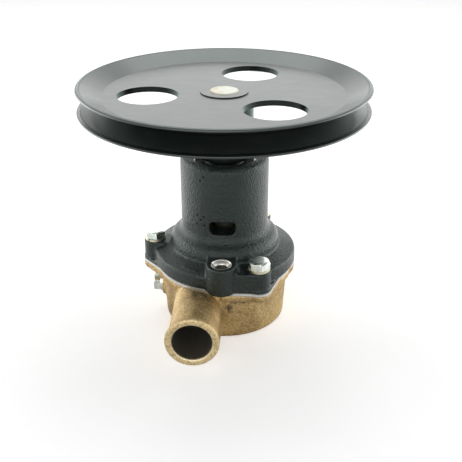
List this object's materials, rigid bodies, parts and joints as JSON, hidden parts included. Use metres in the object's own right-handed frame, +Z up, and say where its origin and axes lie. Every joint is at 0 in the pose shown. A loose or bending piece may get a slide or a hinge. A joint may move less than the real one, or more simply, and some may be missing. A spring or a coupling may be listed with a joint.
{
  "type": "flexible impeller pump",
  "caption": "Belt-driven flexible impeller water pump: dished pressed-steel V pulley on a black cast bearing pedestal over a bronze cup body with hose ports.",
  "frame": {"origin": "middle of the flat closed end of the pump body, on the shaft's axis, which is also the middle of the bounding box's bottom face", "axes": "+Z up the shaft towards the pulley, -Y along the pictured hose port, -X towards the cam and its screw"},
  "size_m": [0.19, 0.19, 0.1684],
  "materials": {
    "bronze_casting": "sand-cast, matt",
    "black_casting": "satin black paint over pebbled iron",
    "black_sheet": "smooth satin black paint on pressed steel",
    "zinc_steel": "bright zinc plate",
    "shaft_steel": "turned, light rust tint at one edge",
    "bearing_steel": "ground",
    "dark_steel": "blackened spring steel",
    "stainless_sheet": "rolled",
    "gasket_sheet": "pressed white fibre sheet",
    "black_rubber": "moulded",
    "brass": "machined"
  },
  "bodies": {
    "housing": {"pump_body": "bronze_casting", "cam": "brass", "cam_screw": "zinc_steel", "cam_screw_washer": "zinc_steel", "body_gasket": "gasket_sheet", "wear_plate": "stainless_sheet", "pedestal_gasket": "gasket_sheet", "bearing_pedestal": "black_casting", "flange_bolts": "zinc_steel", "lock_washers": "zinc_steel", "seal_case": "bearing_steel", "seal_lip": "black_rubber", "seal_spring": "bearing_steel", "lower_bearing_outer_ring": "bearing_steel", "upper_bearing_outer_ring": "bearing_steel", "bearing_shields": "black_rubber", "outer_spacer": "bearing_steel", "bearing_circlip": "dark_steel"},
    "rotor": {"shaft": "shaft_steel", "shaft_circlip": "dark_steel", "slinger": "black_rubber", "lower_bearing_inner_ring": "bearing_steel", "upper_bearing_inner_ring": "bearing_steel", "inner_spacer": "bearing_steel", "impeller": "black_rubber", "impeller_insert": "brass", "drive_key": "bearing_steel", "pulley_hub": "black_sheet", "pulley_upper_sheet": "black_sheet", "pulley_lower_sheet": "black_sheet"},
    "lower_ball_set": {"lower_bearing_balls": "bearing_steel", "lower_bearing_cage": "brass"},
    "upper_ball_set": {"upper_bearing_balls": "bearing_steel", "upper_bearing_cage": "brass"}
  },
  "joints": [
    {"name": "shaft_spin", "type": "hinge", "parent": "housing", "child": "rotor", "pos_m": [0, 0, 0.1], "axis": [0, 0, 1], "continuous": true, "deforming": ["impeller"]},
    {"name": "lower_cage_spin", "type": "hinge", "parent": "housing", "child": "lower_ball_set", "pos_m": [0, 0, 0.09082], "axis": [0, 0, 1], "continuous": true},
    {"name": "upper_cage_spin", "type": "hinge", "parent": "housing", "child": "upper_ball_set", "pos_m": [0, 0, 0.10832], "axis": [0, 0, 1], "continuous": true}
  ],
  "couplings": [
    {"joint": "lower_cage_spin", "follows": "shaft_spin", "ratio": 0.3815},
    {"joint": "upper_cage_spin", "follows": "shaft_spin", "ratio": 0.3815}
  ]
}
